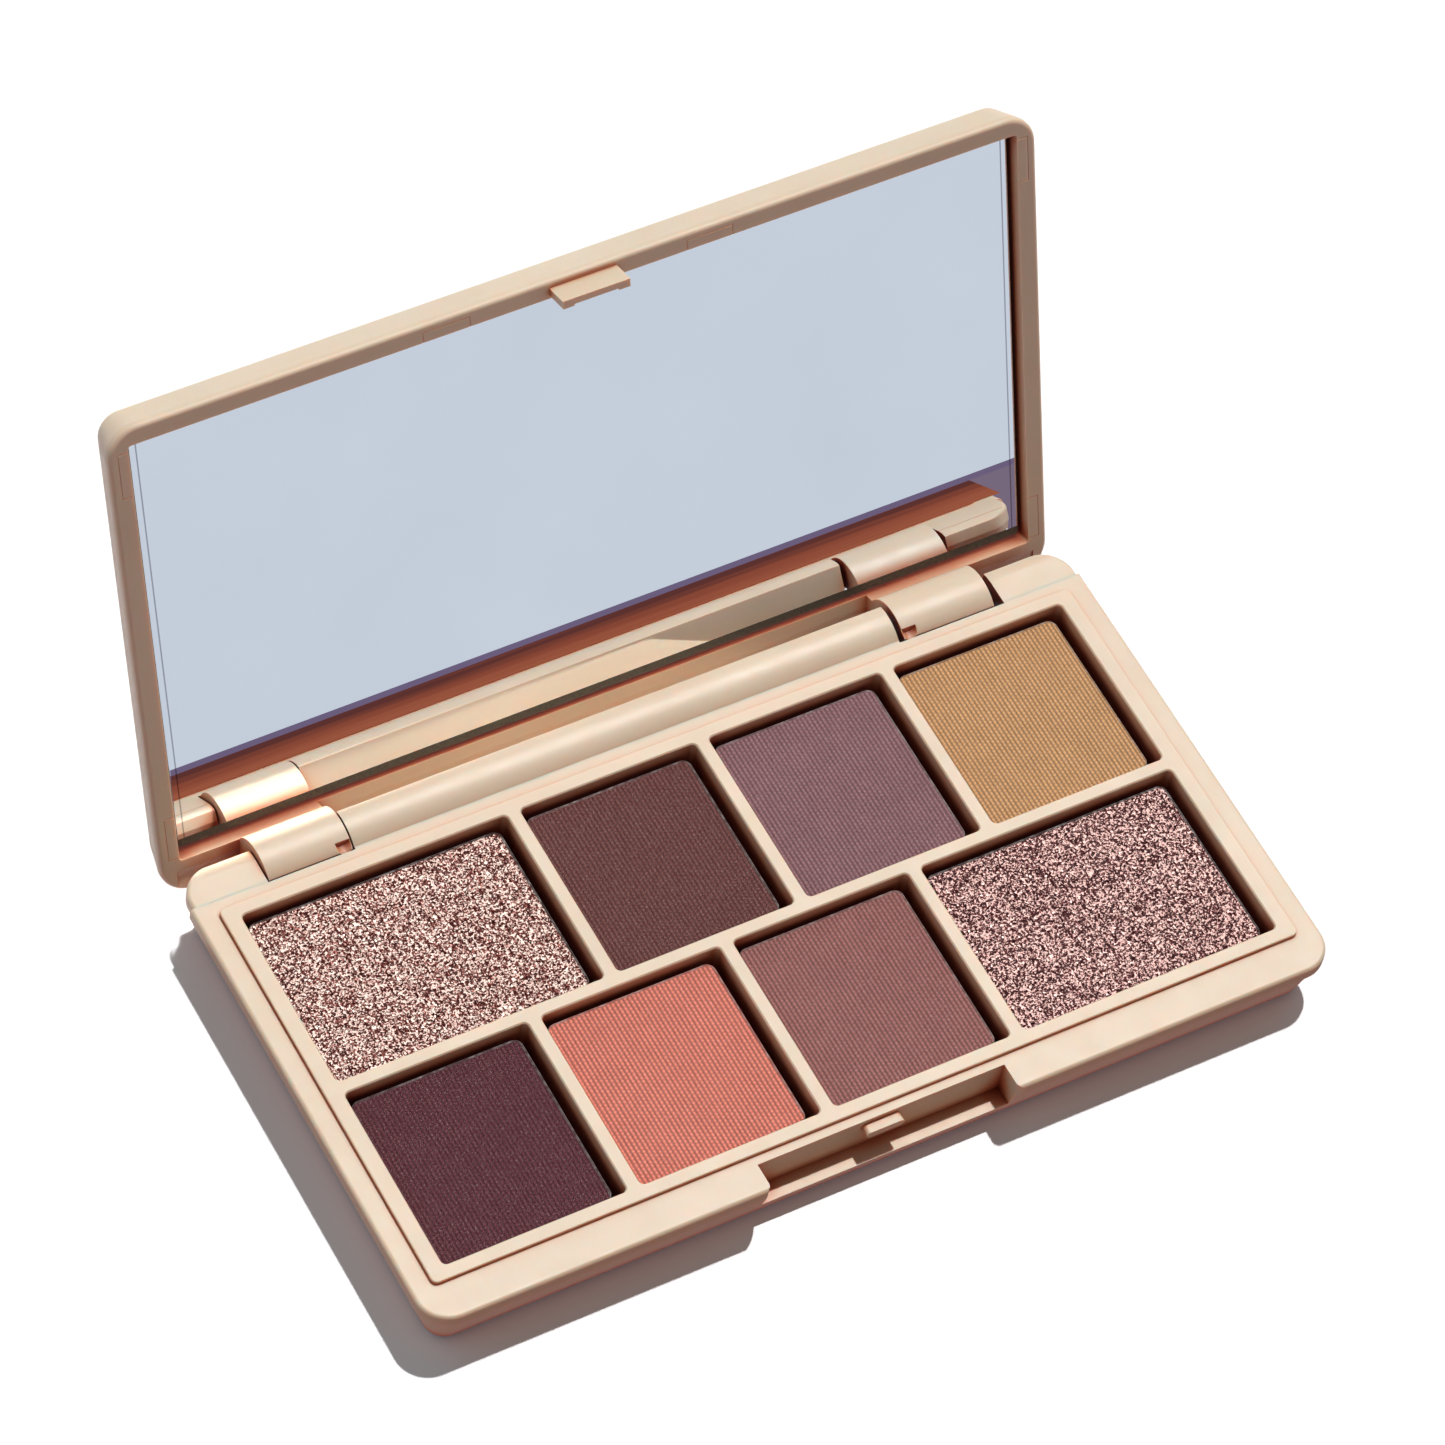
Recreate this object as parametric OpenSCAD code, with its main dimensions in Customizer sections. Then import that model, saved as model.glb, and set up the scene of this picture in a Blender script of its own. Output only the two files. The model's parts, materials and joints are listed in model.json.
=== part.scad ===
// Pocket eyeshadow palette: a hinged two-part case with eight pressed pans and a mirror.
// Millimetres. +X runs along the hinge, +Y points to the hinge, +Z up. The origin is the
// centre of the flat underside. The case is drawn open; lid parts are designed shut and
// then swung about the hinge axis.

/* [Case] */
// Width of the case, along the hinge
case_w = 106.5; // [104:0.5:112]
// Depth of the case, front to back
case_d = 58.5; // [58:0.5:62]
// Corner radius of the case outline
case_corner_r = 3.6; // [2.5:0.1:5]
// Height of the flat border above the table
border_h = 7.2; // [7:0.1:8]
// Lean of the outer walls, as mm inwards for each mm of height
wall_draft = 0.33; // [0.1:0.01:0.4]
// Round on the outer edges of the border and the rim
edge_r = 0.45; // [0.2:0.05:0.6]
// Round where the walls turn into the large outer faces
face_r = 1.2; // [0.6:0.1:1.6]

/* [Tray] */
// Thickness of the tray's border flange
flange_t = 1.6; // [1.4:0.1:1.8]
// Height of the raised plate above the border
plate_rise = 0.5; // [0.3:0.05:0.6]
// Width of the raised plate
plate_w = 101.6; // [101:0.1:101.8]
// Depth of the raised plate
plate_d = 48.6; // [47.5:0.1:48.8]

/* [Pans] */
// Width of a large opening
large_w = 30.7; // [30:0.1:31]
// Width of a small opening
small_w = 20.85; // [20:0.05:21]
// Depth of every opening
opening_d = 22; // [21:0.1:22.2]
// Web between openings that lie side by side
web_x = 1.55; // [1.4:0.05:1.8]
// Web between the two rows
web_y = 1.5; // [1.4:0.05:1.8]
// Corner radius of the openings
opening_r = 0.6; // [0.4:0.1:1.5]
// Height of a metal pan
tin_h = 3.85; // [3.4:0.05:4]
// Wall of a metal pan
tin_wall = 0.3; // [0.2:0.05:0.4]
// How far the powder stands above the pan's rim
powder_crown = 0.15; // [0.05:0.05:0.3]

/* [Lid] */
// Angle by which the lid is open
open_angle = 109.6; // [0:0.1:109.6]
// Thickness of the lid
lid_t = 5.6; // [5.4:0.1:6.4]
// Wall of the lid's cover
lid_wall = 1.4; // [1.2:0.1:1.6]
// Gap between the closed rim and the border
rim_gap = 0.1; // [0.05:0.05:0.2]
// Depth of the mirror's face below the rim
mirror_sink = 1.3; // [0.8:0.1:1.5]
// Width of the mirror
mirror_w = 101; // [100:0.1:101.4]
// Depth of the mirror, front to back
mirror_d = 51.7; // [50:0.1:52]
// Thickness of the mirror glass
mirror_t = 1.5; // [1:0.1:1.6]
// Thickness of the foam tape behind the mirror
tape_t = 0.5; // [0.3:0.1:0.8]

/* [Hinge] */
// Diameter of the steel hinge pins
pin_d = 1.5; // [1.2:0.1:1.8]
// Radial running clearance of a pin in its knuckle
pin_clearance = 0.05; // [0.03:0.01:0.1]
// Radius of the hinge knuckles and of the barrel
knuckle_r = 4.15; // [4:0.05:4.2]
// Gap all round a knuckle in its pocket
pocket_gap = 0.2; // [0.15:0.05:0.3]

/* [Latch] */
// Width of the thumb recess
recess_w = 29; // [24:1:34]
// Width of the latch hook
hook_w = 7.7; // [6:0.1:9]
// Reach of the hook below the rim
hook_l = 2.9; // [2.6:0.1:3.2]
// Width of the catch bump
catch_w = 4.4; // [3:0.1:5]

/* [Hidden] */

$fn = 48;
eps = 0.01;
half_w = case_w / 2;
half_d = case_d / 2;
plate_z = border_h + plate_rise;
flange_z = border_h - flange_t;
rim_z = border_h + rim_gap;
lid_top_z = rim_z + lid_t;
grid_y = -0.75;

// Colours
peach = "#ead2bb";
steel = "#c4c4c6";
tin_metal = "#d2d0cc";
glue_white = "#e9e6df";
tape_grey = "#8d8d8d";
mirror_blue = "#cbd3de";
powder_colours = ["#c79a90", "#694846", "#806469", "#c49b69",
    "#58303a", "#e1826e", "#966967", "#966e6e"];

// Base shell
floor_t = 1.2;
shell_side_step = 0.35;
shell_front_step = 0.25;
tray_back_y = 24.95;
cavity_half_w = 50.2;
cavity_front_y = -25;
cavity_back_y = 22.6;
cavity_r = 1;
block_round_r = 3.05;

// Tray wells
grid_w = large_w + 3 * small_w + 3 * web_x;
grid_d = 2 * opening_d + web_y;
well_wall_x = 0.9;
well_wall_y = 0.5;
well_bottom_z = 1.5;
well_floor_t = 0.7;
opening_chamfer = 0.15;
plate_corner_r = 0.7;
plate_edge_r = 0.15;

// Pans and powders: each pan sits a little to the left and the front of its opening
glue_t = 0.35;
tin_left_gap = 0.3;
tin_right_gap = 1.1;
tin_front_gap = 0.4;
tin_back_gap = 0.65;
tin_corner_r = 1;
glue_z = well_bottom_z + well_floor_t;
tin_z = glue_z + glue_t;
powder_z = tin_z + tin_wall;
powder_top_z = tin_z + tin_h + powder_crown;

// Hinge
axis_y = 27.85;
axis_z = 4.125;
knuckle_back_y = 29.4;
knuckle_bottom_z = 0.4;
pocket_r = knuckle_r + pocket_gap;
pocket_floor_y = 24.6;
barrel_relief_r = knuckle_r + 0.45;
block_relief_r = 3.5;
left_knuckle = [-44.2, -34.55];
right_knuckle = [31.4, 42.5];
left_pocket = [-44.4, -34.35];
right_pocket = [30.7, 43.65];
pin_outer_x = 51.8;
pin_hold = 3.2;
pin_tip = 0.2;
notch_r = 0.85;

// Lid
rim_side_w = 2.25;
rim_front_w = 2.05;
mirror_play = 0.1;
mirror_front_y = rim_front_w - half_d + mirror_play;
mirror_z = rim_z + mirror_sink;
bed_z = mirror_z + mirror_t + tape_t;
roof_z = lid_top_z - lid_wall;
rail_back_y = 25.2;
rail_step_d = 1.6;
ear_half_w = 51.5;
rib_t = 1.2;
tape_w = 6;
mark_line = 0.16;
mark_depth = 0.05;
mark_l = 5.3;
mark_reach = 1.3;

// Thumb recess and latch
recess_back_y = -26.05;
recess_floor_z = 2.75;
recess_round_r = 0.8;
hook_front_y = -28.45;
hook_plate_t = 0.75;
hook_rib_w = 1.3;
hook_back_y = -27.5;
hook_lip_h = 0.7;
catch_reach = 1.15;
catch_z = 5.6;
catch_t = 0.9;

// Points of an arc about c from angle a0 to a1
function arc(c, r, a0, a1, n = 6) =
    [for (i = [0:n]) c + r * [cos(a0 + (a1 - a0) * i / n), sin(a0 + (a1 - a0) * i / n)]];

// Left edge and width of opening i: 0 to 3 are the back row, 4 to 7 the front row
function opening_width(i) = (i == 0 || i == 7) ? large_w : small_w;
function opening_left(i) = (i == 0 || i == 4) ? -grid_w / 2
    : opening_left(i - 1) + opening_width(i - 1) + web_x;
function opening_front(i) = grid_y + (i < 4 ? web_y / 2 : -web_y / 2 - opening_d);

// A slab with round corners of radius r whose edge section is the 2D child,
// drawn from the corner's centre outwards, between z0 and z1
module slab(w, d, r, z0, z1) {
    a = w / 2 - r;
    b = d / 2 - r;
    translate([-a, -b, z0]) cube([2 * a, 2 * b, z1 - z0]);
    for (sx = [-1, 1], sy = [-1, 1]) translate([sx * a, sy * b, 0]) rotate_extrude() children();
    for (s = [0, 180]) rotate([0, 0, s]) {
        translate([a, b, 0]) rotate([90, 0, 0]) linear_extrude(2 * b) children();
        translate([-a, b, 0]) rotate([90, 0, 90]) linear_extrude(2 * a) children();
    }
}

// Edge section: a plain wall with a round of radius e at the top and f at the bottom
module plain_edge(r, z0, z1, e, f) {
    polygon(concat([[0, z0]],
        f > 0 ? arc([r - f, z0 + f], f, -90, 0) : [[r, z0]],
        e > 0 ? arc([r - e, z1 - e], e, 0, 90) : [[r, z1]],
        [[0, z1]]));
}

// Edge section of the case: an upright band from z0 to z1, then a wall that leans
// inwards to the large face at z2, on either side of the band
module case_edge(r, z0, z1, z2, band_round) {
    down = sign(z2 - z1);
    lean = atan(wall_draft);
    inset = wall_draft * (abs(z2 - z1) - face_r);
    c = [r - inset - face_r * cos(lean) + face_r * 0.1, z2 - down * face_r];
    polygon(concat([[0, z0]],
        [for (p = arc([r - band_round, z0 + down * band_round], band_round, -90 * down, 0)) p],
        [[r, z1]],
        [for (p = arc(c, face_r, down * lean, down * 90)) p],
        [[0, z2]]));
}

// Cutter for an opening, with a chamfer at the plate's surface
module opening_cut(w, d, bottom_z) {
    a = w / 2 - opening_r;
    b = d / 2 - opening_r;
    translate([w / 2, d / 2, 0]) {
        slab(w, d, opening_r, bottom_z, plate_z + eps)
            plain_edge(opening_r, bottom_z, plate_z + eps, 0, 0);
        slab(w, d, opening_r, plate_z - opening_chamfer, plate_z + eps)
            polygon([[0, plate_z - opening_chamfer], [opening_r, plate_z - opening_chamfer],
                [opening_r + opening_chamfer + eps, plate_z + eps], [0, plate_z + eps]]);
    }
}

// A cylinder along X, between the two ends of span, about the hinge axis
module hinge_cyl(span, r) {
    translate([span[0], axis_y, axis_z]) rotate([0, 90, 0]) cylinder(h = span[1] - span[0], r = r);
}

// Plan of the thumb recess, with rounded mouth corners
module recess_plan() {
    mouth = half_d + 1;
    translate([-recess_w / 2, -mouth]) square([recess_w, mouth + recess_back_y]);
    for (s = [-1, 1]) translate([s * recess_w / 2, -half_d]) difference() {
        translate([-recess_round_r, -1]) square([2 * recess_round_r, 1 + recess_round_r]);
        translate([s * recess_round_r, recess_round_r]) circle(recess_round_r);
        translate([-recess_round_r, recess_round_r - eps]) square([2 * recess_round_r, eps]);
    }
}

// Swings a part that is drawn shut to the open position
module opened() {
    translate([0, axis_y, axis_z]) rotate([-open_angle, 0, 0]) translate([0, -axis_y, -axis_z])
        children();
}

module base_body() {
    w = case_w - 2 * shell_side_step;
    d = case_d - shell_front_step;
    translate([0, shell_front_step / 2, 0])
        slab(w, d, case_corner_r, 0, border_h)
            case_edge(case_corner_r, border_h, flange_z, 0, edge_r);
}

module base_shell() {
    barrel = [left_pocket[1], right_pocket[0]];
    color(peach) difference() {
        union() {
            difference() {
                base_body();
                // The rear top edge of the corner blocks follows the hinge axis
                translate([-half_w, axis_y, axis_z]) cube([case_w, case_d, case_d]);
            }
            intersection() {
                base_body();
                hinge_cyl([-half_w, half_w], block_round_r);
            }
            intersection() {
                hinge_cyl(barrel, knuckle_r);
                translate([-half_w, 0, 0]) cube([case_w, half_d, border_h + knuckle_r]);
            }
        }
        // Seat of the tray's flange
        translate([-case_w, tray_back_y - case_d, flange_z]) cube([2 * case_w, case_d, case_d]);
        // Cavity for the tray's wells
        translate([0, (cavity_front_y + cavity_back_y) / 2, 0])
            slab(2 * cavity_half_w, cavity_back_y - cavity_front_y, cavity_r, floor_t, border_h)
                plain_edge(cavity_r, floor_t, border_h, 0, 0);
        // Hinge pockets, open below and behind
        for (p = [left_pocket, right_pocket]) {
            hinge_cyl(p, pocket_r);
            translate([p[0], pocket_floor_y, -eps])
                cube([p[1] - p[0], case_d, axis_z]);
            translate([p[0], axis_y, axis_z - 2 * eps])
                cube([p[1] - p[0], case_d, case_d]);
        }
        // Thumb recess
        translate([0, 0, recess_floor_z]) linear_extrude(case_d) recess_plan();
        // Pin bores, open at the sides of the case
        hinge_cyl([-case_w, left_pocket[1] + pin_hold], pin_d / 2);
        hinge_cyl([right_pocket[0] - pin_hold, case_w], pin_d / 2);
    }
}

module pan_tray() {
    color(peach) difference() {
        union() {
            // Border flange
            intersection() {
                slab(case_w, case_d, case_corner_r, flange_z, border_h)
                    plain_edge(case_corner_r, flange_z, border_h, edge_r, plate_edge_r);
                translate([-case_w, tray_back_y - 2 * case_d, 0]) cube([2 * case_w, 2 * case_d, case_d]);
            }
            // Raised plate
            translate([0, grid_y, 0])
                slab(plate_w, plate_d, plate_corner_r, border_h - eps, plate_z)
                    plain_edge(plate_corner_r, border_h - eps, plate_z, plate_edge_r, 0);
            // Wells
            translate([0, grid_y, 0])
                slab(grid_w + 2 * well_wall_x, grid_d + 2 * well_wall_y, opening_r,
                    well_bottom_z, flange_z + eps)
                    plain_edge(opening_r, well_bottom_z, flange_z + eps, 0, 0);
        }
        for (i = [0:7]) translate([opening_left(i), opening_front(i), 0])
            opening_cut(opening_width(i), opening_d, glue_z);
        translate([0, 0, well_bottom_z]) linear_extrude(case_d) recess_plan();
        for (p = [left_pocket, right_pocket]) hinge_cyl(p, pocket_r);
    }
    // Catch bump on the back wall of the thumb recess
    color(peach) translate([0, recess_back_y + eps, catch_z]) rotate([90, 0, 0])
        linear_extrude(catch_reach) {
            translate([(catch_t - catch_w) / 2, 0]) square([catch_w - catch_t, catch_t]);
            for (s = [-1, 1]) translate([s * (catch_w - catch_t) / 2, catch_t / 2]) circle(catch_t / 2);
        }
}

function tin_w(i) = opening_width(i) - tin_left_gap - tin_right_gap;
tin_d = opening_d - tin_front_gap - tin_back_gap;

// Places a child at the centre of the pan in opening i
module at_pan(i) {
    translate([opening_left(i) + tin_left_gap + tin_w(i) / 2,
        opening_front(i) + tin_front_gap + tin_d / 2, 0]) children();
}

module tin(i) {
    r = tin_corner_r;
    rim = tin_z + tin_h;
    color(tin_metal) at_pan(i) difference() {
        slab(tin_w(i), tin_d, r, tin_z, rim) plain_edge(r, tin_z, rim, 0, tin_wall);
        slab(tin_w(i) - 2 * tin_wall, tin_d - 2 * tin_wall, r - tin_wall, powder_z, rim + eps)
            plain_edge(r - tin_wall, powder_z, rim + eps, 0, 0);
    }
}

module powder(i) {
    r = tin_corner_r - tin_wall;
    color(powder_colours[i]) at_pan(i)
        slab(tin_w(i) - 2 * tin_wall, tin_d - 2 * tin_wall, r, powder_z, powder_top_z)
            plain_edge(r, powder_z, powder_top_z, powder_crown, 0);
}

module pan_glue() {
    pad = [10, 8];
    color(glue_white) for (i = [0:7]) at_pan(i)
        translate([-pad[0] / 2, -pad[1] / 2, glue_z]) cube([pad[0], pad[1], glue_t]);
}

// A steel pin with chamfered ends
module hinge_pin(span) {
    body = [span[0] + pin_tip, span[1] - pin_tip];
    color(steel) {
        hinge_cyl(body, pin_d / 2);
        for (e = [[body[1], 1], [body[0], -1]]) translate([e[0], axis_y, axis_z])
            rotate([0, 90 * e[1], 0]) cylinder(h = pin_tip, r1 = pin_d / 2, r2 = pin_d / 2 - pin_tip);
    }
}

module hinge_pin_left() {
    hinge_pin([-pin_outer_x, left_pocket[1] + pin_hold]);
}

module hinge_pin_right() {
    hinge_pin([right_pocket[0] - pin_hold, pin_outer_x]);
}

module knuckle(span) {
    intersection() {
        hinge_cyl(span, knuckle_r);
        translate([-half_w, -half_d, knuckle_bottom_z])
            cube([case_w, half_d + knuckle_back_y, case_d]);
    }
    // Web that ties the knuckle to the lid's back wall
    translate([span[0], axis_y - 1, axis_z + 2.4])
        cube([span[1] - span[0], knuckle_back_y - 0.5 - axis_y, 3]);
}

// Outline of a mould insert in the rim face, open towards the mirror
module rim_mark() {
    for (s = [-1, 1]) translate([s * mark_l / 2 - mark_line / 2, 0, 0])
        cube([mark_line, mark_reach, 2 * mark_depth], center = false);
    translate([-mark_l / 2, 0, 0]) cube([mark_l, mark_line, 2 * mark_depth]);
}

module latch_hook() {
    z0 = rim_z - hook_l;
    depth = hook_back_y - hook_front_y;
    rib_h = rim_z + eps - z0;
    translate([-hook_w / 2, hook_front_y, z0]) cube([hook_w, hook_plate_t, rib_h]);
    for (x = [-hook_w / 2, hook_w / 2 - hook_rib_w])
        translate([x, hook_front_y, z0]) cube([hook_rib_w, depth, rib_h]);
    translate([-hook_w / 2, hook_front_y, z0 + hook_lip_h / 2])
        cube([hook_w, depth - 0.1, hook_lip_h / 2]);
}

module lid_shell() {
    recess_w_lid = case_w - 2 * rim_side_w;
    recess_d_lid = rail_back_y - rim_front_w + half_d;
    recess_mid_y = (rail_back_y + rim_front_w - half_d) / 2;
    rail_end = [-ear_half_w, ear_half_w];
    barrel = [left_knuckle[1] + eps, right_knuckle[0] - eps];
    color(peach) difference() {
        opened() difference() {
            union() {
                difference() {
                    slab(case_w, case_d, case_corner_r, rim_z, lid_top_z)
                        case_edge(case_corner_r, rim_z, rim_z + 0.9, lid_top_z, edge_r);
                    // Mirror recess, down to the bed that carries the tape
                    translate([0, recess_mid_y, 0])
                        slab(recess_w_lid, recess_d_lid, 0.4, rim_z - 1, bed_z)
                            plain_edge(0.4, rim_z - 1, bed_z, 0, 0);
                    // Hollow behind the mirror
                    translate([0, recess_mid_y, 0])
                        slab(recess_w_lid - 6, recess_d_lid - 6, 1, bed_z - eps, roof_z)
                            plain_edge(1, bed_z - eps, roof_z, 0, 0);
                    hinge_cyl(rail_end, block_relief_r);
                    hinge_cyl(barrel, barrel_relief_r);
                    // The rail steps down to the mirror's face over the barrel
                    translate([barrel[0], rail_back_y - eps, rim_z - 1])
                        cube([barrel[1] - barrel[0], rail_step_d, 1 + mirror_sink]);
                }
                knuckle(left_knuckle);
                knuckle(right_knuckle);
                latch_hook();
                // Ribs that carry the middle of the mirror
                for (x = [-25, 0, 25]) translate([x - rib_t / 2, recess_mid_y - recess_d_lid / 2 + 1, bed_z])
                    cube([rib_t, recess_d_lid - 2, roof_z - bed_z + eps]);
            }
            hinge_cyl([left_knuckle[0] - 1, left_knuckle[1] + 1], pin_d / 2 + pin_clearance);
            hinge_cyl([right_knuckle[0] - 1, right_knuckle[1] + 1], pin_d / 2 + pin_clearance);
            // Witness lines of the mould inserts: two in front, two at each side
            for (x = [-15.6, 14.6]) translate([x, -half_d + rim_front_w - mark_reach, rim_z - mark_depth])
                rim_mark();
            for (s = [-1, 1], y = [-23.9, 22]) translate([s * (half_w - rim_side_w + mark_reach), y,
                rim_z - mark_depth]) rotate([0, 0, s * 90]) rim_mark();
        }
        // Half-round notch at the inner end of each knuckle
        for (x = [left_knuckle[1] - notch_r, right_knuckle[0] + notch_r])
            translate([x, axis_y - knuckle_r + 1, plate_z]) rotate([90, 0, 0])
                cylinder(h = 2.4, r = notch_r, center = true);
    }
}

module mirror() {
    r = 0.4;
    color(mirror_blue) opened() translate([0, mirror_front_y + mirror_d / 2, 0])
        slab(mirror_w, mirror_d, r, mirror_z, mirror_z + mirror_t)
            plain_edge(r, mirror_z, mirror_z + mirror_t, 0.15, 0.15);
}

module mirror_tape() {
    y0 = mirror_front_y + 0.6;
    l = mirror_d - 1.2;
    color(tape_grey) opened() for (x = [-25, 0, 25])
        translate([x - tape_w / 2, y0, mirror_z + mirror_t]) cube([tape_w, l, tape_t]);
}

base_shell();
pan_tray();
for (i = [0:7]) {
    tin(i);
    powder(i);
}
pan_glue();
hinge_pin_left();
hinge_pin_right();
lid_shell();
mirror();
mirror_tape();
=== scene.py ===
"""Pocket eyeshadow palette, open on a white table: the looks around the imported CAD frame.

Metres, in the row frame: +X along the hinge, +Y to the hinge, +Z up, origin in the middle of
the flat underside.
"""
import json
import math

import bmesh
import bpy
import numpy as np
from mathutils import Matrix, Vector, noise

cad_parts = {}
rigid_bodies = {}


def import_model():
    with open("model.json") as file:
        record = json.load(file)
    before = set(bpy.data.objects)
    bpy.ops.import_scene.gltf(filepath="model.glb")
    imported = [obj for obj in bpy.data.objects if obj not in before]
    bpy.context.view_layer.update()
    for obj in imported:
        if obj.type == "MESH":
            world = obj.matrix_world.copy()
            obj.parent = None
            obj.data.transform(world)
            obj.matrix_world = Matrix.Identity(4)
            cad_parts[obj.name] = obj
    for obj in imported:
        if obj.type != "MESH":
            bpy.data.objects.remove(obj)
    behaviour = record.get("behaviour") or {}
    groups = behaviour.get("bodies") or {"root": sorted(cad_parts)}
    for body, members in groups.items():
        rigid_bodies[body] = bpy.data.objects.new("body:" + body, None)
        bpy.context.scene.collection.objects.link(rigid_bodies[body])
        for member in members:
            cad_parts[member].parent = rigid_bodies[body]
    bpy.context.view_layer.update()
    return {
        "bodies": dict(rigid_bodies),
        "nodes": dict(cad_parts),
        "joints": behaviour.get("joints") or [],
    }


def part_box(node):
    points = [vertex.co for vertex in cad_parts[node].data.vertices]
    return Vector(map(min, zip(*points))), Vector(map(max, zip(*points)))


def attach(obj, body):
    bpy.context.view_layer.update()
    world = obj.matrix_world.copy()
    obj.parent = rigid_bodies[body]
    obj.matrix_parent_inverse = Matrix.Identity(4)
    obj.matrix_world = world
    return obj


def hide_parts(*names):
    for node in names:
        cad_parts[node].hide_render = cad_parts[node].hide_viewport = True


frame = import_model()
MM = 0.001

# ---------------------------------------------------------------- places taken from the frame
HINGE = frame["joints"][0]
OPEN_ANGLE = math.radians(max(HINGE["range_deg"]))
LEAN = OPEN_ANGLE - math.pi / 2
MIRROR_NORMAL = Vector((0, -math.cos(LEAN), math.sin(LEAN)))
MIRROR_UP = Vector((0, math.sin(LEAN), math.cos(LEAN)))
PLATE_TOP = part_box("pan_tray")[1].z

# ---------------------------------------------------------------- camera
LENS = 173.43  # mm, on a 36 mm sensor
HEADING = math.radians(37.79)  # from +Y towards +X
PITCH = math.radians(-54.31)
ROLL = math.radians(11.40)
CAMERA_DISTANCE = 732.5 * MM
AIM = Vector((8.04, 23.06, 7.70)) * MM  # where the view's middle meets the plate

# ---------------------------------------------------------------- light
SUN_DIRECTION = Vector((0.364, 0.257, 1.0)).normalized()
SUN_STRENGTH = 3.15
SUN_ANGLE = math.radians(1.6)
# Soft light, as (place from straight down 0 to straight up 1, colour)
TABLE_BOUNCE = (0.44, 0.22, 0.17, 1.0)
OVERHEAD = (0.05, 0.05, 0.05, 1.0)
SKY_BEHIND = (
    (0.42, TABLE_BOUNCE), (0.5, (0.44, 0.44, 0.47, 1.0)), (0.58, (0.62, 0.74, 0.82, 1.0)),
    (0.80, (0.62, 0.74, 0.82, 1.0)), (0.93, OVERHEAD))
SKY_IN_FRONT = (
    (0.42, TABLE_BOUNCE), (0.5, (0.26, 0.18, 0.14, 1.0)), (0.58, (0.27, 0.19, 0.15, 1.0)),
    (0.80, (0.27, 0.21, 0.19, 1.0)), (0.93, OVERHEAD))
LEFT_BIAS = 0.2  # how much the bright side of the sky leans to the left
GLOW_POWER = 0.0032  # W, of the light that the mirror throws on the hinge
GLOW_SPREAD = math.radians(6)
GLOW_OFF_MIRROR = 0.2 * MM  # from the mirror's foot to the sheet of light
GLOW_BACK = 3.0 * MM  # from the mirror's foot back to the lamp
TABLE_SIDE = 3.0  # m, from the middle to each edge

# ---------------------------------------------------------------- the card held over the pans
CARD_Y = 20.0 * MM
CARD_LIFT = 0.9 * MM  # from the plate to the card's foot
CARD_EDGE_PAINTED_SHADE = 0.65 * MM  # height of the violet strip along its foot, painted shade of the card's edge
CARD_REACH = 120.0 * MM
CARD_CLEARANCE = 0.05 * MM  # between a shade sheet and what it lies on
SHADE_BACK = 0.1 * MM  # from the tray's back edge in to the shade's
STREAK_FROM, STREAK_TO = -1.0, 4.0  # mm, over which the shade lightens, from the card's place

# ---------------------------------------------------------------- plastic and mirror
PAINTED_SHADE_REACH = 3.0  # mm, how near other surfaces have to be to paint shade into the plastic's colour
DARK_FOOT = 1.5  # mm, the dark band along the mirror's lower edge
SIDE_LINE = 0.8  # mm, from the mirror's ends to a fine dark line, a painted reflection
SIDE_LINE_HALF = 0.08  # mm

# ---------------------------------------------------------------- powders
PRINT_PITCH_X = 0.49 * MM  # the woven print's ribs, side by side
PRINT_PITCH_Y = 0.46 * MM  # the bumps along a rib
PRINT_DEPTH = 0.07 * MM
STEPS_PER_BUMP = 4
PAN_CORNER = 0.7 * MM
SPILL = 0.27 * MM  # how far a cake spreads over its pan's rim, in front and on the left
RIM_DROP = 0.13 * MM  # from the cake's top down to the rim
WORN_EDGE = 0.14 * MM  # how far in from its outline a cake's top is worn
WORN_DEPTH = 0.05 * MM
FLAKES_PER_MM = 4.4
FINE_FLAKES_PER_MM = 7.5
FLAKE_TILT = 0.9
# Uneven pressing, as (seed, feature size)
RUBBED = (3.7, 2.2 * MM)
GRAINS = (5.3, 0.25 * MM)
LOOSE_FLAKES = (9.1, 0.2 * MM)
TIN_CORNER = 1.0 * MM
TIN_SHEET = 0.3 * MM
BEAD = 0.14 * MM  # radius of the rolled bead
BEAD_SWEEP = math.radians(200)
BEAD_STEPS = 8
CORNER_STEPS = 8


def srgb(red, green, blue):
    """A linear colour from its 0-255 display values."""
    return tuple(
        v / 12.92 if v <= 0.04045 else ((v + 0.055) / 1.055) ** 2.4
        for v in (red / 255, green / 255, blue / 255)
    ) + (1.0,)


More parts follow.
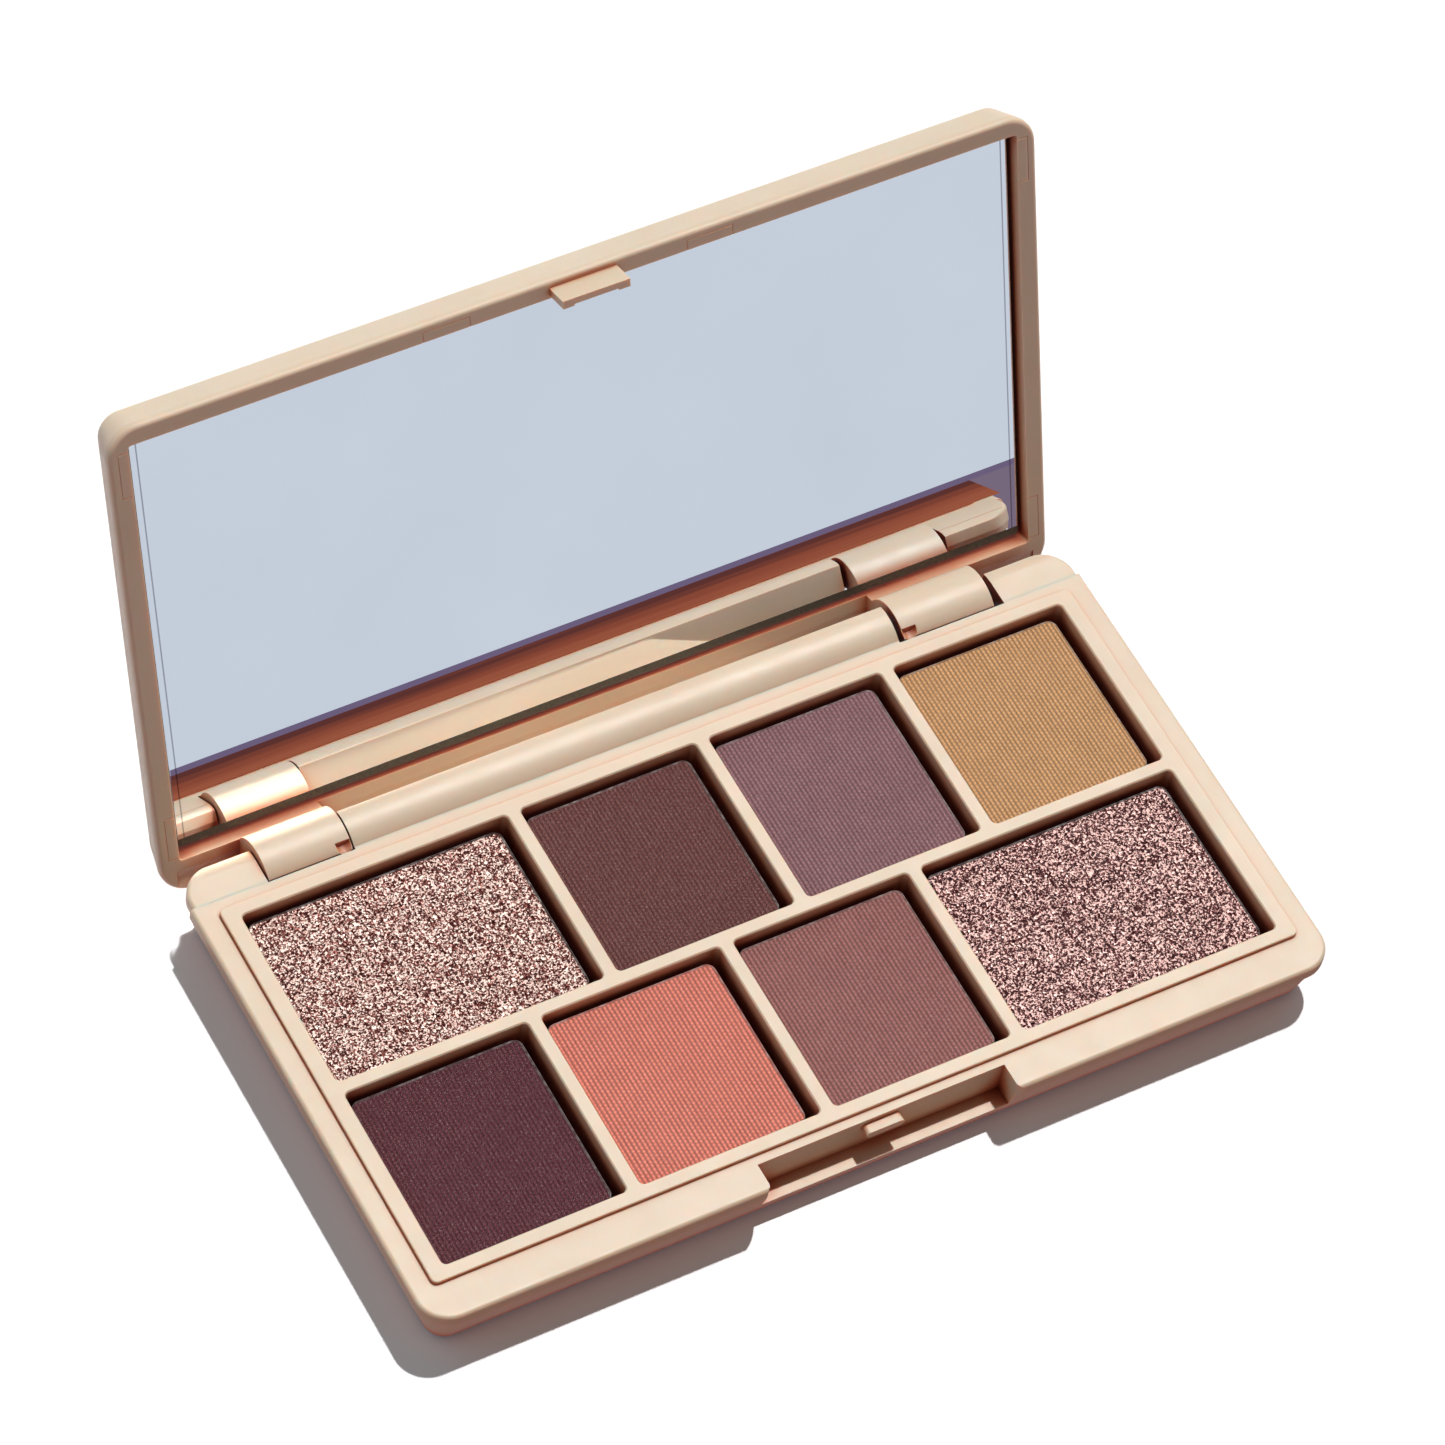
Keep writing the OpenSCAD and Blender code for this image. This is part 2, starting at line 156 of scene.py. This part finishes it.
# ---------------------------------------------------------------- node helpers
class Nodes:
    """The node tree of a new material, or of a world, with short calls for its nodes."""

    def __init__(self, name, world=None):
        self.owner = world or bpy.data.materials.new(name)
        self.owner.use_nodes = True
        self.tree = self.owner.node_tree
        self.tree.nodes.clear()
        self.output = self.add("ShaderNodeOutputWorld" if world else "ShaderNodeOutputMaterial")

    def add(self, kind, inputs=None, **settings):
        node = self.tree.nodes.new(kind)
        for key, value in settings.items():
            setattr(node, key, value)
        for key, value in (inputs or {}).items():
            self.put(node.inputs[key], value)
        return node

    def put(self, socket, value):
        if isinstance(value, bpy.types.NodeSocket):
            self.tree.links.new(value, socket)
        else:
            socket.default_value = value

    def math(self, operation, *values, clamp=False):
        node = self.add("ShaderNodeMath", operation=operation, use_clamp=clamp)
        for socket, value in zip(node.inputs, values):
            self.put(socket, value)
        return node.outputs[0]

    def place(self, scale=1.0):
        """Object-space position in millimetres, times scale."""
        where = self.add("ShaderNodeTexCoord").outputs["Object"]
        return self.add(
            "ShaderNodeVectorMath", {0: where, 3: scale / MM}, operation="SCALE"
        ).outputs[0]

    def noise(self, scale, detail=2.0, roughness=0.5, vector=None):
        return self.add("ShaderNodeTexNoise", {
            "Vector": vector or self.place(), "Scale": scale, "Detail": detail,
            "Roughness": roughness}).outputs["Fac"]

    def ramp(self, factor, stops):
        node = self.add("ShaderNodeValToRGB", {"Fac": factor})
        ramp = node.color_ramp
        while len(ramp.elements) < len(stops):
            ramp.elements.new(0.5)
        for element, (place, colour) in zip(ramp.elements, stops):
            element.position = place
            element.color = colour
        return node.outputs["Color"]

    def mix(self, factor, first, second, blend="MIX"):
        node = self.add("ShaderNodeMix", data_type="RGBA", blend_type=blend)
        self.put(node.inputs["Factor"], factor)
        self.put(node.inputs["A"], first)
        self.put(node.inputs["B"], second)
        return node.outputs["Result"]

    def bump(self, height, distance, strength):
        return self.add("ShaderNodeBump", {
            "Height": height, "Distance": distance, "Strength": strength}).outputs["Normal"]

    def surface(self, shader):
        self.put(self.output.inputs["Surface"], shader)
        return self.owner

    def principled(self, **inputs):
        node = self.add("ShaderNodeBsdfPrincipled", inputs)
        return self.surface(node.outputs["BSDF"])


# ---------------------------------------------------------------- materials
def peach_plastic():
    """Milky nude-peach polystyrene. Light soaks in. Where the surface is shut in, as in a gap or a
    well, painted shade turns its colour orange to deep red-brown."""
    n = Nodes("peach_plastic")
    cloud = n.noise(0.08, detail=1.0)
    open_colour = n.ramp(cloud, [(0.3, srgb(206, 186, 161)), (0.7, srgb(211, 191, 166))])
    # Painted shade: ambient occlusion turns the colour orange to deep red-brown in gaps and wells.
    openness = n.add(
        "ShaderNodeAmbientOcclusion", {"Distance": PAINTED_SHADE_REACH * MM}, samples=8).outputs["AO"]
    painted_shade_colour = n.ramp(openness, [
        (0.15, srgb(84, 18, 8)), (0.42, srgb(166, 72, 38)), (0.62, srgb(203, 140, 104)),
        (0.8, srgb(209, 180, 152))])
    free_of_painted_shade = n.ramp(openness, [(0.72, (0, 0, 0, 1)), (0.93, (1, 1, 1, 1))])
    colour = n.mix(free_of_painted_shade, painted_shade_colour, open_colour)
    grain = n.noise(9.0, detail=2.0)
    smear = n.noise(0.6, detail=1.0)
    return n.principled(**{
        "Base Color": colour,
        "Roughness": n.math("MULTIPLY_ADD", smear, 0.12, 0.42),
        "IOR": 1.5,
        "Specular IOR Level": 0.62,
        "Subsurface Weight": 1.0,
        "Subsurface Radius": (1.0, 0.42, 0.27),
        "Subsurface Scale": 0.7 * MM,
        "Normal": n.bump(grain, 0.004 * MM, 0.5),
    })


def scaled_colour(colour, factor, lift=0.0):
    """The colour times factor, plus lift."""
    return tuple(min(1.0, c * factor + lift) for c in colour[:3]) + (1.0,)


def matte_powder(name, colour):
    """Pressed matte powder: painted shade darkens the print's grooves, and painted highlight makes
    its crests a little paler.
    """
    n = Nodes(name)
    relief = n.add("ShaderNodeAttribute", attribute_name="print").outputs["Fac"]
    grain = n.noise(8.0, detail=3.0, roughness=0.65)
    patch = n.noise(0.22, detail=2.0)
    # Painted shade and highlight: the print's grooves are darkened and its crests made paler in the
    # colour.
    level = n.math("MULTIPLY_ADD", grain, 0.5, n.math("MULTIPLY", relief, 0.62))
    base = n.ramp(level, [
        (0.22, scaled_colour(colour, 0.28)), (0.5, scaled_colour(colour, 0.88)),
        (0.8, scaled_colour(colour, 1.6, 0.012))])
    base = n.mix(n.math("MULTIPLY", patch, 0.2), base, scaled_colour(colour, 1.1, 0.01))
    # Pale specks mixed into the colour: painted glints.
    painted_glint = n.math("GREATER_THAN", n.noise(12.0, detail=0.0), 0.72)
    base = n.mix(n.math("MULTIPLY", painted_glint, 0.35), base, srgb(236, 206, 204))
    return n.principled(**{
        "Base Color": base,
        "Roughness": 0.8,
        "Specular IOR Level": 0.2,
        "Sheen Weight": 0.06,
        "Sheen Roughness": 0.5,
        "Normal": n.bump(grain, 0.06 * MM, 0.8),
    })


def shimmer_powder(name, dark, middle, light):
    """Pressed glitter: packed flakes, each tilted its own way. Their colours, from deep rose to
    near white, are partly painted glints and shade.
    """
    n = Nodes(name)
    place = n.place()
    relief = n.add("ShaderNodeAttribute", attribute_name="print").outputs["Fac"]
    flakes = n.add("ShaderNodeTexVoronoi", {"Vector": place, "Scale": FLAKES_PER_MM})
    fine = n.add("ShaderNodeTexVoronoi", {"Vector": place, "Scale": FINE_FLAKES_PER_MM})
    random = n.add("ShaderNodeSeparateColor", {"Color": flakes.outputs["Color"]})
    random_fine = n.add("ShaderNodeSeparateColor", {"Color": fine.outputs["Color"]})
    # Painted glints and shade: each flake's colour runs at random from deep rose to near white, and
    # the print's crests are painted paler.
    level = n.math("MULTIPLY_ADD", random_fine.outputs["Red"], 0.45,
                   n.math("MULTIPLY", random.outputs["Red"], 0.35))
    level = n.math("MULTIPLY_ADD", relief, 0.3, level)
    colour = n.ramp(level, [(0.46, dark), (0.58, middle), (0.68, light)])
    tilt = n.add("ShaderNodeVectorMath", {0: fine.outputs["Color"], 1: (0.5, 0.5, 0.5)},
                 operation="SUBTRACT").outputs[0]
    tilt = n.add("ShaderNodeVectorMath", {0: tilt, 3: FLAKE_TILT}, operation="SCALE").outputs[0]
    up = n.add("ShaderNodeNewGeometry").outputs["Normal"]
    leaning = n.add("ShaderNodeVectorMath", {0: up, 1: tilt}, operation="ADD").outputs[0]
    normal = n.add("ShaderNodeVectorMath", {0: leaning}, operation="NORMALIZE").outputs[0]
    return n.principled(**{
        "Base Color": colour,
        "Metallic": n.math("MULTIPLY", random.outputs["Green"], 0.5),
        "Roughness": 0.45,
        "Specular IOR Level": 0.25,
        "Normal": normal,
    })


def dusty_tin(name, dust):
    """Bright drawn aluminium of a pan, dusted with its powder on the upper side of the rim."""
    n = Nodes(name)
    marks = n.noise(14.0, detail=3.0)
    metal = n.ramp(marks, [(0.3, srgb(176, 174, 170)), (0.7, srgb(222, 220, 216))])
    up = n.add("ShaderNodeSeparateXYZ", {
        "Vector": n.add("ShaderNodeTexCoord").outputs["Normal"]}).outputs["Z"]
    patches = n.noise(1.4, detail=3.0)
    patchy = n.math("MULTIPLY_ADD", patches, 1.2, -0.55)
    cover = n.math("MULTIPLY_ADD", up, 0.9, patchy, clamp=True)
    return n.principled(**{
        "Base Color": n.mix(cover, metal, dust),
        "Metallic": n.math("SUBTRACT", 1.0, cover),
        "Roughness": n.math("MULTIPLY_ADD", cover, 0.55, 0.2),
        "Normal": n.bump(marks, 0.02 * MM, 0.5),
    })


def steel_pin():
    """Ground steel with lines round the pin."""
    n = Nodes("steel_pin")
    along = n.add("ShaderNodeVectorMath", {0: n.place(), 1: (30.0, 2.0, 2.0)},
                  operation="MULTIPLY").outputs[0]
    lines = n.noise(1.0, detail=3.0, vector=along)
    return n.principled(**{
        "Base Color": n.ramp(lines, [(0.3, srgb(150, 150, 154)), (0.7, srgb(205, 205, 208))]),
        "Metallic": 1.0,
        "Roughness": n.math("MULTIPLY_ADD", lines, 0.2, 0.42),
        "Normal": n.bump(lines, 0.006 * MM, 0.4),
    })


def silvered_glass():
    """The mirror: a cool silvered face, a dark olive foot and edges, and near each end a fine dark
    line, a painted reflection."""
    n = Nodes("silvered_glass")
    mirror = frame["nodes"]["mirror"]
    low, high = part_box("mirror")
    into = mirror.matrix_world.inverted()
    foot = into @ Vector((0, low.y, low.z))
    up = (into.to_3x3() @ MIRROR_UP).normalized()
    front = (into.to_3x3() @ MIRROR_NORMAL).normalized()
    facing = n.add("ShaderNodeVectorMath", {
        0: n.add("ShaderNodeTexCoord").outputs["Normal"], 1: tuple(front)},
        operation="DOT_PRODUCT").outputs["Value"]
    face = n.math("GREATER_THAN", facing, 0.9)
    place = n.place()
    height = n.add("ShaderNodeVectorMath", {0: place, 1: tuple(up)},
                   operation="DOT_PRODUCT").outputs["Value"]
    clear = n.math("GREATER_THAN", height, foot.dot(up) / MM + DARK_FOOT)
    along = n.math("ABSOLUTE", n.add("ShaderNodeSeparateXYZ", {"Vector": place}).outputs["X"])
    # A painted reflection: a fine dark line near each end of the silvered face.
    line = n.math("COMPARE", along, high.x / MM - SIDE_LINE, SIDE_LINE_HALF)
    haze = n.noise(0.05, detail=2.0)
    silver = n.ramp(haze, [(0.3, srgb(240, 243, 246)), (0.7, srgb(244, 246, 249))])
    silver = n.mix(n.math("MULTIPLY", line, 0.6), silver, srgb(96, 92, 110))
    dark = n.ramp(n.noise(3.0), [(0.3, srgb(62, 58, 48)), (0.7, srgb(82, 77, 63))])
    silvered = n.math("MULTIPLY", face, clear)
    dull = n.math("MULTIPLY_ADD", silvered, -0.5, 0.5)
    return n.principled(**{
        "Base Color": n.mix(silvered, dark, silver),
        "Metallic": silvered,
        "Roughness": n.math("MULTIPLY_ADD", haze, 0.02, dull),
    })


def white_glue():
    """Dried dots of adhesive under the pans."""
    n = Nodes("white_glue")
    lumps = n.noise(1.6, detail=3.0)
    return n.principled(**{
        "Base Color": n.ramp(lumps, [(0.3, srgb(214, 208, 196)), (0.7, srgb(238, 234, 226))]),
        "Roughness": 0.35,
        "Normal": n.bump(lumps, 0.1 * MM, 0.6),
    })


def foam_tape():
    """Grey foam tape: small open cells."""
    n = Nodes("foam_tape")
    cells = n.add("ShaderNodeTexVoronoi", {"Vector": n.place(), "Scale": 4.0}).outputs["Distance"]
    return n.principled(**{
        "Base Color": n.ramp(cells, [(0.0, srgb(92, 92, 94)), (0.5, srgb(150, 150, 152))]),
        "Roughness": 0.9,
        "Normal": n.bump(cells, 0.1 * MM, 0.8),
    })


def white_table():
    """Plain white table."""
    n = Nodes("white_table")
    fibres = n.noise(0.5, detail=3.0)
    return n.principled(**{
        "Base Color": n.ramp(fibres, [
            (0.3, (0.94, 0.94, 0.94, 1)), (0.7, (0.95, 0.95, 0.95, 1))]),
        "Roughness": 0.8,
        "Specular IOR Level": 0.1,
    })


POWDERS = {
    "powder_1": ("powder_rose_shimmer", None),
    "powder_2": ("powder_dark_brown", srgb(97, 54, 50)),
    "powder_3": ("powder_mauve", srgb(130, 92, 96)),
    "powder_4": ("powder_ochre", srgb(190, 143, 96)),
    "powder_5": ("powder_plum", srgb(83, 35, 44)),
    "powder_6": ("powder_coral", srgb(206, 117, 99)),
    "powder_7": ("powder_dusty_rose", srgb(144, 92, 87)),
    "powder_8": ("powder_rose_brown_shimmer", None),
}
# Flake colours, as (dark, middle, light); the near-white light colour stands for painted glints.
SHIMMERS = {
    "powder_rose_shimmer": (srgb(58, 8, 4), srgb(156, 82, 70), srgb(255, 232, 218)),
    "powder_rose_brown_shimmer": (srgb(46, 5, 8), srgb(112, 50, 50), srgb(255, 214, 204)),
}


def powder_material(slot_name, colour):
    if slot_name in SHIMMERS:
        return shimmer_powder(slot_name, *SHIMMERS[slot_name])
    return matte_powder(slot_name, colour)


# ---------------------------------------------------------------- pieces
def weave(x, y):
    """Height from 0 to 1 of the woven print: ribs along Y with bumps, offset rib by rib."""
    column = x / PRINT_PITCH_X
    rib = 0.5 + 0.5 * np.cos(2 * np.pi * column)
    bumps = 0.5 + 0.5 * np.cos(2 * np.pi * y / PRINT_PITCH_Y + np.pi * np.round(column))
    return rib ** 0.8 * (0.55 + 0.45 * bumps)


def outline_inset(x, y, half_w, half_d, radius):
    """How far a point lies inside the pan's rounded outline."""
    dx = np.maximum(np.abs(x) - (half_w - radius), 0)
    dy = np.maximum(np.abs(y) - (half_d - radius), 0)
    inside = np.minimum(half_w - np.abs(x), half_d - np.abs(y))
    corner = (dx > 0) & (dy > 0)
    return np.where(corner, radius - np.hypot(dx, dy), inside)


def new_piece(name, mesh, material, smooth=True):
    data = bpy.data.meshes.new(name)
    mesh.to_mesh(data)
    mesh.free()
    if smooth:
        data.polygons.foreach_set("use_smooth", [len(p.vertices) == 4 for p in data.polygons])
    data.materials.append(material)
    piece = bpy.data.objects.new(name, data)
    bpy.context.scene.collection.objects.link(piece)
    return piece


def drawn_in(along, across, half, half_across, radius):
    """Coordinates of a square grid's points along one axis, with the grid's corners drawn in to
    round ones of the given radius."""
    flat = half - radius
    over = np.maximum(np.abs(along) - flat, 0) / radius
    over_across = np.maximum(np.abs(across) - (half_across - radius), 0) / radius
    round_part = np.sign(along) * (flat + radius * over * np.sqrt(1 - over_across**2 / 2))
    return np.where(over > 0, round_part, along)


def field(x, y, seed, size):
    """Smooth noise at the points x, y, of that feature size."""
    layer = Vector((0, 0, seed))
    return np.array([noise.noise(Vector((a, b, 0)) / size + layer) for a, b in zip(x, y)])


def pressed_cake(node, body):
    """A pressed powder with its printed top, which stands for the plain CAD cake."""
    low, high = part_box(node)
    left, front = low.x - SPILL, low.y - SPILL
    middle_x, middle_y = (left + high.x) / 2, (front + high.y) / 2
    half_w, half_d = (high.x - left) / 2, (high.y - front) / 2
    slot_name, colour = POWDERS[node]
    mesh = bmesh.new()
    bmesh.ops.create_grid(
        mesh,
        x_segments=round(2 * half_w / PRINT_PITCH_X) * STEPS_PER_BUMP,
        y_segments=round(2 * half_d / PRINT_PITCH_Y) * STEPS_PER_BUMP,
        size=1.0,
    )
    places = np.array([v.co for v in mesh.verts])
    flat_x, flat_y = places[:, 0] * half_w, places[:, 1] * half_d
    x = drawn_in(flat_x, flat_y, half_w, half_d, PAN_CORNER) + middle_x
    y = drawn_in(flat_y, flat_x, half_d, half_w, PAN_CORNER) + middle_y
    relief = weave(x, y)
    if slot_name in SHIMMERS:
        flakes = 0.5 + 0.7 * field(x, y, *LOOSE_FLAKES)
        relief = 0.45 * relief + 0.55 * flakes
    else:
        relief = relief * (0.86 + 0.1 * field(x, y, *RUBBED)) + 0.1 * field(x, y, *GRAINS)
    relief = np.clip(relief, 0, 1)
    inset = outline_inset(x - middle_x, y - middle_y, half_w, half_d, PAN_CORNER)
    edge = 1 - np.clip(inset / WORN_EDGE, 0, 1)
    top = high.z - PRINT_DEPTH * (1 - relief) - WORN_DEPTH * edge**2
    for vertex, a, b, c in zip(mesh.verts, x, y, top):
        vertex.co = (a, b, c)
    top_count = len(mesh.verts)
    rim_z = high.z - RIM_DROP
    for step_z, step_in in ((rim_z, False), (rim_z, True), (low.z, True)):
        border = [e for e in mesh.edges if e.is_boundary]
        grown = bmesh.ops.extrude_edge_only(mesh, edges=border)["geom"]
        for vertex in (g for g in grown if isinstance(g, bmesh.types.BMVert)):
            vertex.co.z = step_z
            if step_in:
                vertex.co.x = max(vertex.co.x, low.x)
                vertex.co.y = max(vertex.co.y, low.y)
    bmesh.ops.contextual_create(mesh, geom=[e for e in mesh.edges if e.is_boundary])
    bmesh.ops.recalc_face_normals(mesh, faces=mesh.faces)
    cake = new_piece(f"pressed_{node}", mesh, powder_material(slot_name, colour))
    values = np.full(len(cake.data.vertices), 0.5, np.float32)
    values[:top_count] = relief
    cake.data.attributes.new("print", "FLOAT", "POINT").data.foreach_set("value", values)
    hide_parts(node)
    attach(cake, body)


def rounded_outline(half_w, half_d, radius):
    """Points round a rectangle with round corners, anticlockwise."""
    points = []
    for corner in range(4):
        sx = 1 if corner in (0, 3) else -1
        sy = 1 if corner in (0, 1) else -1
        for i in range(CORNER_STEPS + 1):
            turn = math.pi / 2 * (corner + i / CORNER_STEPS)
            points.append((
                sx * (half_w - radius) + radius * math.cos(turn),
                sy * (half_d - radius) + radius * math.sin(turn),
            ))
    return points


def beaded_tin(index, body):
    """A drawn pan with a rolled bead round its rim, which stands for the plain CAD cup."""
    node = f"tin_{index}"
    low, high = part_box(node)
    middle = (low + high) / 2
    half_w, half_d = (high.x - low.x) / 2, (high.y - low.y) / 2
    # Inset from the outer wall and height: up the outside, over the bead and down inside
    section = [
        (TIN_SHEET, low.z), (TIN_SHEET / 2, low.z + BEAD / 4),
        (BEAD / 4, low.z + TIN_SHEET), (BEAD / 4, high.z - 3 * BEAD)]
    for i in range(BEAD_STEPS + 1):
        turn = BEAD_SWEEP * (1 - i / BEAD_STEPS)
        section.append((BEAD * (1 + math.cos(turn)), high.z - BEAD * (1 - math.sin(turn))))
    section += [(TIN_SHEET, high.z - 2 * BEAD), (TIN_SHEET, low.z + TIN_SHEET)]
    mesh = bmesh.new()
    rings = []
    for inset, z in section:
        outline = rounded_outline(half_w - inset, half_d - inset, TIN_CORNER - inset)
        rings.append([mesh.verts.new((middle.x + a, middle.y + b, z)) for a, b in outline])
    for lower, upper in zip(rings, rings[1:]):
        for i in range(len(lower)):
            j = (i + 1) % len(lower)
            mesh.faces.new((lower[i], lower[j], upper[j], upper[i]))
    mesh.faces.new(rings[0])
    mesh.faces.new(rings[-1])
    bmesh.ops.recalc_face_normals(mesh, faces=mesh.faces)
    slot_name, colour = POWDERS[f"powder_{index}"]
    dust = colour or SHIMMERS[slot_name][0]
    tin = new_piece(f"beaded_{node}", mesh, dusty_tin(f"tin_dusted_{index}", scaled_colour(dust, 0.45)))
    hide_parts(node)
    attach(tin, body)


def dress(names, material):
    """Gives CAD nodes a material in their own slots."""
    for name in names:
        for slot in frame["nodes"][name].material_slots:
            slot.material = material


# ---------------------------------------------------------------- stage
def make_camera():
    """The camera at the angle of the picture to match."""
    forward = Vector((
        math.sin(HEADING) * math.cos(PITCH),
        math.cos(HEADING) * math.cos(PITCH),
        math.sin(PITCH),
    ))
    turn = forward.to_track_quat("-Z", "Y").to_matrix().to_4x4()
    camera = bpy.data.objects.new("camera", bpy.data.cameras.new("camera"))
    camera.data.lens = LENS
    camera.data.sensor_width = 36.0
    camera.data.clip_start = 0.05
    camera.data.clip_end = 10.0
    place = Matrix.Translation(AIM - forward * CAMERA_DISTANCE)
    camera.matrix_world = place @ turn @ Matrix.Rotation(ROLL, 4, "Z")
    bpy.context.scene.collection.objects.link(camera)
    bpy.context.scene.camera = camera


def stage_sheet(name, corners, material):
    """A flat stage piece through the given corners."""
    mesh = bmesh.new()
    mesh.faces.new([mesh.verts.new(corner) for corner in corners])
    sheet = new_piece(name, mesh, material, smooth=False)
    return sheet


def make_floor():
    """The table. It throws no light back on the palette: the lower half of the sky does that."""
    side = TABLE_SIDE
    corners = [(-side, -side, 0), (side, -side, 0), (side, side, 0), (-side, side, 0)]
    stage_sheet("table", corners, white_table()).visible_diffuse = False


def card_surface(name, colour):
    """Even glow of a sheet, as the mirror sees it: the studio card's light, and painted shade on
    the card's edge and on the table.
    """
    n = Nodes(name)
    return n.surface(n.add("ShaderNodeEmission", {"Color": colour}).outputs[0])


def streaked_shade(name):
    """The shade under the card: brown with long streaks, darker towards the card."""
    n = Nodes(name)
    place = n.place()
    streaks = n.noise(1.0, detail=2.0, vector=n.add(
        "ShaderNodeVectorMath", {0: place, 1: (0.03, 0.9, 1.0)}, operation="MULTIPLY").outputs[0])
    back = n.add("ShaderNodeMapRange", {
        "Value": n.add("ShaderNodeSeparateXYZ", {"Vector": place}).outputs["Y"],
        "From Min": CARD_Y / MM + STREAK_FROM, "From Max": CARD_Y / MM + STREAK_TO,
    }).outputs["Result"]
    level = n.math("MULTIPLY_ADD", n.math("SUBTRACT", streaks, 0.5), 0.9, back)
    colour = n.ramp(level, [
        (0.0, srgb(96, 52, 48)), (0.45, srgb(140, 72, 54)), (1.0, srgb(160, 88, 64))])
    return n.surface(n.add("ShaderNodeEmission", {"Color": colour}).outputs[0])


def seen_in_reflections_only(sheet):
    """Hides a stage sheet from every ray but a reflected one."""
    sheet.visible_camera = False
    sheet.visible_diffuse = False
    sheet.visible_shadow = False
    sheet.visible_transmission = False
    sheet.visible_volume_scatter = False


def make_cards():
    """Grey-blue card held over the pans to keep the mirror plain, with painted shade: glowing
    sheets for the card's edge, the shade under it and its shade on the table. Only reflections
    see them."""
    low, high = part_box("pan_tray")
    edge_z = PLATE_TOP + CARD_LIFT
    card_z = edge_z + CARD_EDGE_PAINTED_SHADE
    shade_back = high.y - SHADE_BACK
    shade_z = PLATE_TOP + CARD_CLEARANCE
    wide, upright = (-CARD_REACH, CARD_REACH), (CARD_Y, CARD_Y)
    sheets = (
        ("card", card_surface("card", srgb(207, 214, 225)), wide, upright, (card_z, CARD_REACH)),
        ("card_edge_painted_shade", card_surface("card_edge_painted_shade", srgb(112, 98, 128)),
         wide, upright, (edge_z, card_z)),
        ("card_shade", streaked_shade("card_shade"),
         (low.x, high.x), (-CARD_REACH, shade_back), (shade_z, shade_z)),
        ("table_shade", card_surface("table_shade", srgb(124, 108, 128)),
         wide, (-CARD_REACH, shade_back), (CARD_CLEARANCE, CARD_CLEARANCE)),
    )
    for name, material, x, y, z in sheets:
        corners = [(x[0], y[0], z[0]), (x[1], y[0], z[0]), (x[1], y[1], z[1]), (x[0], y[1], z[1])]
        seen_in_reflections_only(stage_sheet(name, corners, material))


def make_light():
    """The key light. It passes the lid by, so the table stays clear of the lid's shadow."""
    sun = bpy.data.lights.new("key", "SUN")
    sun.energy = SUN_STRENGTH
    sun.angle = SUN_ANGLE
    key = bpy.data.objects.new("key", sun)
    key.rotation_mode = "QUATERNION"
    key.rotation_quaternion = SUN_DIRECTION.to_track_quat("Z", "Y")
    bpy.context.scene.collection.objects.link(key)
    passed = bpy.data.collections.new("passed_by_key")
    for name in ("lid_shell", "mirror", "mirror_tape"):
        passed.objects.link(frame["nodes"][name])
    for entry in passed.collection_objects:
        entry.light_linking.link_state = "EXCLUDE"
    key.light_linking.blocker_collection = passed


def make_mirror_glow():
    """The key light that the mirror throws down on the hinge: a thin sheet of light, because it
    strikes the mirror at a grazing angle. It swings with the lid."""
    low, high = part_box("mirror")
    foot = Vector((0, low.y, low.z)) + MIRROR_NORMAL * GLOW_OFF_MIRROR
    slant = SUN_DIRECTION.dot(MIRROR_NORMAL)
    toward_sun = SUN_DIRECTION - 2 * slant * MIRROR_NORMAL
    sheet = bpy.data.lights.new("mirror_glow", "AREA")
    sheet.shape = "RECTANGLE"
    sheet.size = high.x - low.x
    sheet.size_y = (high.z - low.z) / MIRROR_UP.z * slant
    sheet.spread = GLOW_SPREAD
    sheet.energy = GLOW_POWER
    back = toward_sun.normalized()
    across = Vector((1, 0, 0))
    across = (across - across.dot(back) * back).normalized()
    upward = back.cross(across)
    glow = bpy.data.objects.new("mirror_glow", sheet)
    turn = Matrix((across, upward, back)).transposed().to_4x4()
    middle = foot + back * GLOW_BACK - upward * sheet.size_y / 2
    glow.matrix_world = Matrix.Translation(middle) @ turn
    glow.visible_camera = False
    glow.visible_glossy = False
    bpy.context.scene.collection.objects.link(glow)
    glow.parent = frame["bodies"]["lid"]


def make_sky():
    """Soft light from a ring of panels, brightest behind and to the left of the palette and dim in
    front of it, where the card stands. From below it is warm, like light off the case."""
    world = bpy.data.worlds.new("studio")
    n = Nodes("studio", world)
    split = n.add("ShaderNodeSeparateXYZ", {
        "Vector": n.add("ShaderNodeTexCoord").outputs["Generated"]})
    height = n.math("MULTIPLY_ADD", split.outputs["Z"], 0.5, 0.5)
    left = n.math("MULTIPLY_ADD", split.outputs["X"], -LEFT_BIAS, 0.5)
    behind = n.math("MULTIPLY_ADD", split.outputs["Y"], 0.5, left, clamp=True)
    colour = n.mix(behind, n.ramp(height, SKY_IN_FRONT), n.ramp(height, SKY_BEHIND))
    n.surface(n.add("ShaderNodeBackground", {"Color": colour}).outputs[0])
    bpy.context.scene.world = world
    bpy.context.scene.view_settings.view_transform = "Standard"


def main():
    """Sets the stage, then makes the pieces and dresses the CAD nodes that stay."""
    make_camera()
    make_floor()
    make_light()
    make_sky()
    make_mirror_glow()
    make_cards()
    for i in range(1, 9):
        pressed_cake(f"powder_{i}", "base")
        beaded_tin(i, "base")
    dress(["base_shell", "pan_tray", "lid_shell"], peach_plastic())
    dress(["hinge_pin_left", "hinge_pin_right"], steel_pin())
    dress(["mirror"], silvered_glass())
    dress(["mirror_tape"], foam_tape())
    dress(["pan_glue"], white_glue())


main()
